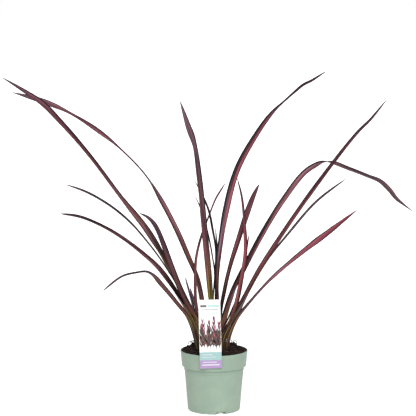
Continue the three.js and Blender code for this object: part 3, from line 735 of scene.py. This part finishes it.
def make_blade(leaf, index):
    """One leaf: a grid rolled into the blade's thin folded section and laid along its route."""
    steps, length = stations(leaf["route"])
    bm = bmesh.new()
    uv = bm.loops.layers.uv.new("blade")
    # Per point: lightness, dark margins with painted keel shade, and a slate tone with painted
    # sheen.
    pigment_and_shade = bm.verts.layers.float_vector.new("pigment_and_shade")
    young = bm.verts.layers.float_vector.new("young")
    bmesh.ops.create_grid(bm, x_segments=SECTION_STEPS, y_segments=len(steps) - 1, size=0.5)
    for vert in bm.verts:
        angle = (vert.co.x + 0.5) * math.tau
        share, at, along = steps[round((vert.co.y + 0.5) * (len(steps) - 1))]
        side = -math.cos(angle)
        upper = math.sin(angle) < 0
        sign = side / math.sqrt(side * side + KEEL_ROUND ** 2)
        ripple = noise.noise(Vector((share * length * 22, index * 3.7, 0.5 * sign)))
        opened = smooth(share, FOLD_OPEN_FROM, FOLD_OPEN_BY)
        fold = math.radians(
            FOLD_AT_FOOT + (leaf["fold"] - FOLD_AT_FOOT) * opened + RIPPLE_DEGREES * ripple * opened
        )
        sheath = 1 + SHEATH_EXTRA * (1 - smooth(share, SHEATH_TO, FOLD_OPEN_BY))
        taper = max(0, (share - TAPER_FROM) / (1 - TAPER_FROM)) ** TAPER_POWER
        arm = TIP_ARM + (along_list(leaf["arm"], share) * sheath - TIP_ARM) * (1 - taper)
        point = smooth(length * (1 - share), 0, TIP_LENGTH)
        arm = TIP_POINT + (arm - TIP_POINT) * point
        half = min(BLADE_THICK / 2, arm * 0.4)
        edge = max(1 - side * side, 0) ** 0.2
        sine, cosine = math.sin(fold), math.cos(fold)
        run = math.sqrt(side * side + KEEL_ROUND ** 2) - KEEL_ROUND
        run /= math.sqrt(1 + KEEL_ROUND ** 2) - KEEL_ROUND
        bow = BOW * arm * 4 * run * (1 - run)
        if upper:
            mitre = min(half * sine / cosine / arm, 0.7)
            run = mitre + (1 - mitre) * run
            out = sign * (run * arm * cosine - half * edge * sine + bow * sine)
            deep = run * arm * sine + half * edge * cosine - bow * cosine
        else:
            out = sign * (run * arm * cosine + (half * edge + bow) * sine)
            deep = run * arm * sine - (half * edge + bow) * cosine
        turn = along_list(leaf["turn"], max(0, (share - TURN_FROM) / (1 - TURN_FROM)))
        across = along.cross(Vector((0, -1, 0))).normalized()
        across.rotate(Matrix.Rotation(math.radians(turn), 3, along))
        face = across.cross(along)
        vert.co = at + across * out + face * (deep - arm * sine / 2)
        left, right = (along_list(leaf[key], share) for key in ("left", "right"))
        margin = leaf["margin"][side > 0]
        margin *= MARGIN_AT_FOOT + (1 - MARGIN_AT_FOOT) * smooth(share, *MARGIN_WIDENS)
        shade = 1 - smooth(1 - abs(side), margin * 0.6, margin * 1.6)
        # Painted shade along the keel, darkest where the blade is folded shut; it joins the dark
        # margins.
        closed = smooth(fold, math.radians(32), math.radians(60))
        keel = KEEL_SHADE_FLAT + (KEEL_SHADE_FOLDED - KEEL_SHADE_FLAT) * closed
        keel *= 1 - smooth(abs(side), 0.04, 0.22)
        # Each half's lightness: partly the leaf's own stripes, partly painted shade on the half
        # turned from the light.
        pale = left + (right - left) * smooth(side, -0.15, 0.15)
        # Olive, crimson flush, and a slate tone that is partly wax bloom and partly painted sheen,
        # along the leaf.
        olive, flush, bloom_and_sheen = (along_list(leaf[key], share) for key in ("olive", "flush", "bloom_and_sheen"))
        # A painted sheen: a pale lavender stripe on the left half, which lightens the leaf and
        # turns it slate.
        painted_sheen = along_list(leaf.get("painted_sheen", [0, 0]), share) * smooth(-side, 0.05, 0.2)
        vert[pigment_and_shade] = (pale + (0.9 - pale) * painted_sheen, max(shade, keel), bloom_and_sheen + (1 - bloom_and_sheen) * painted_sheen)
        vert[young] = (olive * (1 - painted_sheen), flush * (1 - painted_sheen), 1 - point)
        for loop in vert.link_loops:
            loop[uv].uv = (abs(side) * sign * 0.5 + 0.5, share * length)
    bmesh.ops.remove_doubles(bm, verts=bm.verts, dist=1e-6)
    bmesh.ops.holes_fill(bm, edges=[e for e in bm.edges if e.is_boundary], sides=0)
    bmesh.ops.recalc_face_normals(bm, faces=bm.faces)
    return bm


def blade_finish():
    """Waxy ribbed leaf: near-black to pink stripes partly of painted shade, dark margins, olive
    foot.
    """
    material, tree, surface = finish("flax_blade", 0.45, 0.15)
    place = add(tree, "UVMap", {}, uv_map="blade").outputs[0]
    across = add(tree, "SeparateXYZ", {0: place}).outputs[0]
    broad = add(tree, "Mapping", {"Vector": place, "Scale": (1.0, 1.4, 1.0)}).outputs[0]
    fine = add(tree, "Mapping", {"Vector": place, "Scale": (1.0, 0.5, 1.0)}).outputs[0]
    broad = grain(tree, broad, 6, 3)
    fine = grain(tree, fine, 34, 3)
    pigment_and_shade = add(tree, "Attribute", {}, attribute_name="pigment_and_shade").outputs["Vector"]
    young = add(tree, "Attribute", {}, attribute_name="young").outputs["Vector"]
    pale, shade, bloom_and_sheen = add(tree, "SeparateXYZ", {0: pigment_and_shade}).outputs
    olive, flush, dry = add(tree, "SeparateXYZ", {0: young}).outputs
    pale = reckon(tree, "ADD", pale, ramp(tree, broad, 0.3, 0.7, -0.28, 0.28))
    pale = reckon(tree, "ADD", pale, ramp(tree, fine, 0.3, 0.7, -0.16, 0.16))
    maroon = blend(tree, ramp(tree, pale, 0.0, 0.55), colour(26, 13, 15), colour(86, 47, 49))
    rose = blend(tree, ramp(tree, pale, 0.45, 1.0), maroon, colour(150, 88, 97))
    # Slate-lavender tone: partly the leaf's wax bloom, partly a painted sheen.
    slate = blend(tree, pale, colour(28, 22, 34), colour(130, 112, 132))
    crimson = blend(tree, pale, colour(40, 16, 20), colour(152, 58, 72))
    bloom_and_sheen_tone = blend(tree, reckon(tree, "MULTIPLY", bloom_and_sheen, 0.85), rose, slate)
    flushed = blend(tree, reckon(tree, "MULTIPLY", flush, 0.85), bloom_and_sheen_tone, crimson)
    patchy = reckon(tree, "ADD", olive, ramp(tree, broad, 0.3, 0.7, -0.32, 0.32))
    patchy = reckon(tree, "ADD", patchy, ramp(tree, fine, 0.3, 0.7, -0.12, 0.12))
    foot = blend(tree, ramp(tree, patchy, 0.5, 0.8), colour(82, 50, 43), colour(104, 68, 40))
    foot = blend(tree, ramp(tree, patchy, 0.75, 1.1), foot, colour(148, 144, 62))
    foot = blend(tree, ramp(tree, pale, 0.0, 0.45), colour(30, 22, 17), foot)
    leafy = blend(tree, ramp(tree, patchy, 0.15, 0.65), flushed, foot)
    # Near-black from the shade value: the leaf's own dark margins, and painted shade along a folded
    # keel.
    ragged = add(tree, "Math", {0: shade, 1: ramp(tree, fine, 0.3, 0.7, -0.25, 0.25)}).outputs[0]
    edged_and_shaded = blend(tree, ramp(tree, ragged, 0.3, 0.75), leafy, colour(18, 13, 21))
    ended = blend(tree, reckon(tree, "MULTIPLY", dry, 0.5), edged_and_shaded, colour(56, 46, 46))
    tree.links.new(ended, surface.inputs["Base Color"])
    ribs = add(tree, "Math", {0: across, 1: 2 * math.pi * RIBS}, operation="MULTIPLY").outputs[0]
    ribs = add(tree, "Math", {0: ribs}, operation="SINE").outputs[0]
    relief(tree, surface, add(tree, "Math", {0: ribs, 1: fine}).outputs[0], 0.00004)
    return material


flax = blade_finish()


def plant_fan(leaves, first):
    """Grows each leaf of a fan as a piece of its own, in place of the node of its name."""
    for index, leaf in enumerate(leaves):
        blade_bm = make_blade(leaf, first + index)
        piece(leaf["name"] + "_blade", blade_bm, [flax], [leaf["name"]], crease=180)


plant_fan(LEFT_LEAVES, 0)


# Centre fan of leaves.
# The youngest fan, with the tallest leaf in the middle. Short new leaves stand folded between the
# long ones, and a broad old leaf on the right arches over until its underside shows.
CENTRE_LEAVES = [
    {"name": "centre_leaf_1", "fold": 20, "turn": [90, 85, 40, 40, 35, 84, 82, 38, 70, 20, 55],
     "arm": [0.006, 0.0075, 0.007, 0.0062, 0.0057, 0.0067, 0.0069],
     "left": [0.3, 0.5, 0.6, 0.25, 0.4, 0.3, 0.4, 0.55, 0.45, 0.45, 0.4],
     "right": [0.3, 0.4, 0.4, 0.5, 0.8, 0.4, 0.45, 0.35, 0.3, 0.4, 0.35],
     "margin": (0.25, 0.2), "bloom_and_sheen": [0.1, 0.2, 0.3, 0.3, 0.6],
     "flush": [0, 0.1, 0.1, 0.5, 0.1], "olive": [0.6, 0.45, 0.15, 0, 0],
     "route": [(-0.014, 0.008, 0.098), (-0.01, 0.009, 0.155), (-0.021, 0.011, 0.2075),
               (-0.034, 0.015, 0.267), (-0.054, 0.02, 0.316), (-0.076, 0.028, 0.368),
               (-0.11, 0.04, 0.433), (-0.145, 0.054, 0.487), (-0.197, 0.078, 0.538),
               (-0.251, 0.098, 0.579), (-0.305, 0.116, 0.61), (-0.358, 0.132, 0.633),
               (-0.43, 0.148, 0.653)]},
    {"name": "centre_leaf_2", "fold": 25, "turn": [90, 60, 15, 5, 10, 25, 40, 40, 50, -5, 15],
     "arm": [0.0068, 0.008, 0.007, 0.0073, 0.0082, 0.0078, 0.0046],
     "left": [0.6, 1.25, 1.1, 0.6, 0.4, 0.3, 0.4, 0.4],
     "right": [0.4, 0.4, 0.3, 0.3, 0.35, 0.3, 0.4, 0.4],
     "margin": (0.08, 0.25), "bloom_and_sheen": [0, 0.1, 0.2, 0.4, 0.6],
     "flush": [0.1, 0.2, 0.1, 0], "olive": [1.1, 1.2, 1.25, 0.6, 0.3, 0.15, 0.1, 0, 0, 0],
     "route": [(-0.007, 0.004, 0.098), (-0.007, 0.004, 0.156), (-0.008, 0.003, 0.2195),
               (-0.011, 0.001, 0.283), (-0.018, -0.002, 0.357), (-0.025, -0.006, 0.43),
               (-0.032, -0.014, 0.493), (-0.041, -0.025, 0.555), (-0.055, -0.036, 0.601),
               (-0.069, -0.048, 0.645)]},
    {"name": "centre_leaf_3", "fold": 40, "turn": [90, 90, 70, 75],
     "arm": [0.003, 0.0032, 0.0032, 0.0034, 0.0036, 0.0034, 0.0032],
     "left": [0.15, 0.1, 0.25, 0.3],
     "right": [0.1, 0.0, 0.15, 0.2],
     "margin": (0.3, 0.3), "bloom_and_sheen": [0.1, 0.2, 0.3],
     "flush": [0.2, 0.1], "olive": [0.2, 0, 0],
     "route": [(-0.004, 0.008, 0.098), (-0.003, 0.008, 0.155), (-0.003, 0.009, 0.2185),
               (0.001, 0.012, 0.282), (-0.004, 0.015, 0.321), (-0.014, 0.02, 0.371),
               (-0.028, 0.025, 0.418), (-0.04, 0.028, 0.445)]},
    {"name": "centre_leaf_4", "fold": 40, "turn": [90, 85, 65, 40, 75],
     "arm": [0.0032, 0.0034, 0.0036, 0.0038, 0.0042, 0.004, 0.0034],
     "left": [0.15, 0.2, 0.2, 0.3],
     "right": [0.1, 0.1, 0.05, 0.0],
     "margin": (0.3, 0.3), "bloom_and_sheen": [0.1, 0.2, 0.3],
     "flush": [0.1, 0.1], "olive": [0.2, 0, 0],
     "route": [(-0.003, 0.012, 0.098), (-0.003, 0.012, 0.154), (-0.002, 0.015, 0.2285),
               (0.002, 0.02, 0.291), (0.003, 0.024, 0.332), (-0.004, 0.027, 0.376),
               (-0.011, 0.03, 0.411), (-0.025, 0.034, 0.446), (-0.041, 0.038, 0.476)]},
    {"name": "centre_leaf_5", "fold": 40, "turn": [-90, -80, -75, -75],
     "arm": [0.0032, 0.0034, 0.0036, 0.0038, 0.0038, 0.0038, 0.0036],
     "left": [0.15, 0.2, 0.1],
     "right": [0.1, 0.15, 0.05],
     "margin": (0.3, 0.3), "bloom_and_sheen": [0.1, 0.2],
     "flush": [0.2, 0.1], "olive": [0.3, 0.1, 0],
     "route": [(0.002, 0.008, 0.098), (0.002, 0.008, 0.155), (0.003, 0.009, 0.2295),
               (0.006, 0.012, 0.303), (0.006, 0.014, 0.344), (0.003, 0.017, 0.379)]},
    {"name": "centre_leaf_6", "fold": 25,
     "turn": [-90, -64, -30, -30, -34, -19, -15, -10, -26, -22, -68, -58, -60],
     "arm": [0.0062, 0.0075, 0.0070, 0.0080, 0.0070, 0.0046, 0.0068],
     "left": [0.25, 0.45, 0.35, 0.1, 0.0, 0.0, 0.25, 0.15, 0.05, 0.2],
     "right": [0.2, 0.4, 0.35, 0.7, 1.1, 0.8, 0.65, 0.5, 0.4, 0.35],
     "margin": (0.5, 0.18), "bloom_and_sheen": [0, 0, 0.2, 0.2, 0.3, 0.6],
     "flush": [0, 0, 0.3, 0.6, 0.5, 0.1], "olive": [0.6, 0.5, 0.15, 0, 0],
     # Painted sheen along this leaf's left half.
     "painted_sheen": [0, 0, 0.1, 0.9, 0.5, 0, 0, 0, 0],
     "route": [(0.004, 0.003, 0.098), (0.005, 0.003, 0.156), (0.007, 0.002, 0.2305),
               (0.008, 0.0, 0.294), (0.015, -0.005, 0.357), (0.025, -0.012, 0.42),
               (0.047, -0.026, 0.504), (0.081, -0.043, 0.569), (0.114, -0.057, 0.618),
               (0.144, -0.07, 0.648), (0.163, -0.077, 0.6655), (0.177, -0.082, 0.6775),
               (0.1955, -0.088, 0.6875), (0.21, -0.093, 0.6975), (0.2225, -0.098, 0.7065)]},
    {"name": "centre_leaf_7", "fold": 30, "turn": [-90, -50, -25, -15, 0, -10],
     "arm": [0.005, 0.007, 0.0058, 0.0053, 0.0062, 0.0073, 0.0056],
     "left": [0.05, 0, 0.0, 0.4, 0.6, 0.4, 0.25],
     "right": [0.1, 0.1, 0.25, 0.25, 0.4, 0.5, 0.35],
     "margin": (0.25, 0.2), "bloom_and_sheen": [0, 0, 0.1, 0.3],
     "flush": [0.2, 0.3, 0.4, 0.3, 0.2], "olive": [0.6, 0.45, 0.25, 0],
     "route": [(0.008, 0.008, 0.098), (0.011, 0.0095, 0.166), (0.019, 0.015, 0.2285),
               (0.032, 0.025, 0.29), (0.051, 0.041, 0.351), (0.071, 0.056, 0.411),
               (0.083, 0.063, 0.441), (0.095, 0.07, 0.465)]},
    {"name": "centre_leaf_8", "fold": 25,
     "turn": [-90, -60, -25, -35, -25, -10, -25, -140, -132, -155, -120],
     "arm": [0.0063, 0.009, 0.0072, 0.0064, 0.0067, 0.0066, 0.006],
     "left": [0.2, 0.4, 0.45, 0.2, 0.0, 0.45, 1.05, 0.4, 0.25, 0.3, 0.25],
     "right": [0.1, 0.3, 0.65, 1.0, 1.05, 0.85, 0.65, 0.3, 0.25, 0.25, 0.2],
     "margin": (0.46, 0.18), "bloom_and_sheen": [0.3, 0.4, 0.2, 0.2, 0.3, 0.4, 0.4],
     "flush": [0.2, 0.2, 0.2, 0.1, 0.1, 0], "olive": [0.55, 0.45, 0.3, 0.2, 0.1, 0],
     "route": [(0.011, 0.013, 0.098), (0.015, 0.016, 0.161), (0.038, 0.021, 0.2385),
               (0.073, 0.027, 0.311), (0.106, 0.035, 0.373), (0.145, 0.05, 0.434),
               (0.187, 0.063, 0.487), (0.211, 0.071, 0.503), (0.235, 0.078, 0.511),
               (0.286, 0.092, 0.4935), (0.3245, 0.101, 0.478), (0.3515, 0.108, 0.4665),
               (0.3715, 0.113, 0.4485), (0.388, 0.118, 0.428), (0.405, 0.122, 0.414),
               (0.425, 0.127, 0.3995)]},
]
plant_fan(CENTRE_LEAVES, len(LEFT_LEAVES))


# Right fan of leaves.
# Five leaves that lean to the right, from the short spur inside the fan to the long blades that
# stretch out over the pot's rim.
RIGHT_LEAVES = [
    {"name": "right_leaf_1", "fold": 45, "turn": [-90, -80, -75],
     "arm": [0.0028, 0.003, 0.0034, 0.0038, 0.0038, 0.0036, 0.0034],
     "left": [0.2, 0.4, 0.6, 0.4],
     "right": [0.2, 0.3, 0.5, 0.3],
     "margin": (0.3, 0.3), "bloom_and_sheen": [0.1, 0.3],
     "flush": [0, 0.2], "olive": [0.4, 0],
     "route": [(0.009, -0.0005, 0.098), (0.012, 0.0, 0.15), (0.031, 0.001, 0.1955),
               (0.048, 0.004, 0.2365), (0.06, 0.012, 0.288), (0.068, 0.019, 0.333),
               (0.073, 0.026, 0.365)]},
    {"name": "right_leaf_2", "fold": 35, "turn": [-90, -40, -10, -15, -50, -70],
     "arm": [0.005, 0.0065, 0.0063, 0.0054, 0.005, 0.0048, 0.0052],
     "left": [0.15, 0.3, 1.0, 0.9, 0.65, 0.45, 0.35],
     "right": [0.1, 0.15, 0.25, 0.55, 0.55, 0.25, 0.25],
     "margin": (0.15, 0.25), "bloom_and_sheen": [0.1, 0.1, 0.1, 0.4],
     "flush": [0, 0.1, 0.7, 0.6, 0.2], "olive": [0.7, 0.6, 0.3, 0, 0],
     "route": [(0.016, -0.008, 0.098), (0.022, -0.009, 0.152), (0.035, -0.013, 0.1885),
               (0.047, -0.012, 0.2265), (0.056, -0.002, 0.271), (0.065, 0.009, 0.324),
               (0.064, 0.022, 0.385), (0.058, 0.033, 0.444), (0.048, 0.04, 0.481)]},
    {"name": "right_leaf_3", "fold": 30, "turn": [-90, -45, -10, -20, -30, -50, -60, -60],
     "arm": [0.007, 0.008, 0.0058, 0.0052, 0.0058, 0.0062, 0.0051],
     "left": [0.1, 0.2, 0.65, 0.6, 0.3, 0.1, 0.15, 0.2, 0.25],
     "right": [0.1, 0.2, 0.25, 0.45, 0.55, 0.6, 0.35, 0.35, 0.3],
     "margin": (0.3, 0.18), "bloom_and_sheen": [0.2, 0.3, 0.1, 0.1, 0.3, 0.8],
     "flush": [0.1, 0.2, 0.4, 0.6, 0.4, 0], "olive": [0.6, 0.45, 0.25, 0.1, 0, 0],
     "route": [(0.011, -0.004, 0.098), (0.018, -0.004, 0.151), (0.039, -0.003, 0.1915),
               (0.061, -0.005, 0.2315), (0.093, -0.016, 0.296), (0.145, -0.03, 0.381),
               (0.196, -0.042, 0.457), (0.256, -0.056, 0.54), (0.288, -0.062, 0.5805),
               (0.301, -0.065, 0.5945), (0.3115, -0.067, 0.605), (0.325, -0.069, 0.6215),
               (0.346, -0.072, 0.6495)]},
    {"name": "right_leaf_4", "fold": 40, "turn": [-90, -80, -65, -70],
     "arm": [0.0044, 0.0044, 0.0038, 0.0044, 0.0054, 0.0054, 0.0048],
     "left": [0.1, 0.15, 0.3, 0.3, 0.3],
     "right": [0.1, 0.15, 0.25, 0.25, 0.25],
     "margin": (0.25, 0.25), "bloom_and_sheen": [0.3, 0.5, 0.6],
     "flush": [0, 0], "olive": [0.6, 0.5, 0.2, 0],
     "route": [(0.019, 0.0, 0.098), (0.024, 0.0, 0.151), (0.046, 0.002, 0.1935),
               (0.075, 0.01, 0.251), (0.112, 0.024, 0.311), (0.161, 0.05, 0.368),
               (0.214, 0.086, 0.423), (0.282, 0.132, 0.47)]},
    {"name": "right_leaf_5", "fold": 25, "turn": [-90, -75, -70, -60, -38, -12, -20],
     "arm": [0.0055, 0.0055, 0.0055, 0.0055, 0.0056, 0.0061, 0.0066, 0.0064, 0.0062, 0.0072,
             0.0060, 0.0041, 0.0024],
     "left": [0.05, 0.2, 0.65, 0.85, 0.75, 0.8, 0.6],
     "right": [0.05, 0.3, 0.8, 1.1, 0.95, 0.45, 0.4],
     "margin": (0.3, 0.28), "bloom_and_sheen": [0.1, 0.3, 0.5, 0.3, 0.1],
     "flush": [0, 0, 0.3, 0.7, 1.0], "olive": [0.75, 0.5, 0.2, 0.1, 0, 0],
     "route": [(0.025, -0.008, 0.098), (0.03, -0.009, 0.148), (0.046, -0.014, 0.1915),
               (0.076, -0.027, 0.2325), (0.115, -0.048, 0.28), (0.175, -0.08, 0.339),
               (0.232, -0.114, 0.39), (0.282, -0.15, 0.436)]},
]
plant_fan(RIGHT_LEAVES, len(LEFT_LEAVES) + len(CENTRE_LEAVES))


# Studio.
# A plain white floor that runs out of sight, an even dome of light that is brightest low down, and
# one broad soft light from high in front.
FLOOR_SIZE = 900
floor_bm = bmesh.new()
bmesh.ops.create_grid(floor_bm, x_segments=1, y_segments=1, size=FLOOR_SIZE / 2)
floor_mesh = bpy.data.meshes.new("studio_floor")
floor_bm.to_mesh(floor_mesh)
floor_bm.free()
floor = bpy.data.objects.new("studio_floor", floor_mesh)
bpy.context.scene.collection.objects.link(floor)
paper, tree, surface = finish("pale_floor", 0.9, 0.1)
surface.inputs["Emission Color"].default_value = (1, 1, 1, 1)
surface.inputs["Emission Strength"].default_value = 0.6
pale = blend(tree, grain(tree, place_of(tree), 3), (0.88, 0.88, 0.88, 1), (0.92, 0.92, 0.92, 1))
tree.links.new(pale, surface.inputs["Base Color"])
floor_mesh.materials.append(paper)

world = bpy.data.worlds.new("soft_room")
world.use_nodes = True
tree = world.node_tree
direction = add(tree, "TexCoord", {}).outputs["Generated"]
high = add(tree, "SeparateXYZ", {0: direction}).outputs[2]
strength = ramp(tree, high, 0.06, 0.2, 1.0, 0.4)
tree.links.new(strength, tree.nodes["Background"].inputs["Strength"])
tree.nodes["Background"].inputs["Color"].default_value = (1, 1, 1, 1)
bpy.context.scene.world = world
bpy.context.scene.view_settings.view_transform = "Standard"

sun = bpy.data.lights.new("front_light", "SUN")
sun.energy = 3.3
sun.angle = math.radians(30)
sun_object = bpy.data.objects.new("front_light", sun)
sun_object.rotation_euler = Vector((-0.14, 1, -0.95)).to_track_quat("-Z", "Y").to_euler()
bpy.context.scene.collection.objects.link(sun_object)

# The camera stands well back and a little above the plant, and looks down on it.
CAMERA_PLACE = (-0.0125, -3.5, 0.822)
CAMERA_DOWN = math.radians(6.52)
SENSOR = 36
PHOTO_SIDE = 416
FOCAL_PIXELS = 1712
LENS = SENSOR * FOCAL_PIXELS / PHOTO_SIDE
camera = bpy.data.cameras.new("camera")
camera.sensor_width = SENSOR
camera.lens = LENS
camera.clip_end = 1000
viewer = bpy.data.objects.new("camera", camera)
viewer.location = CAMERA_PLACE
viewer.rotation_euler = (math.pi / 2 - CAMERA_DOWN, 0, 0)
bpy.context.scene.collection.objects.link(viewer)
bpy.context.scene.camera = viewer
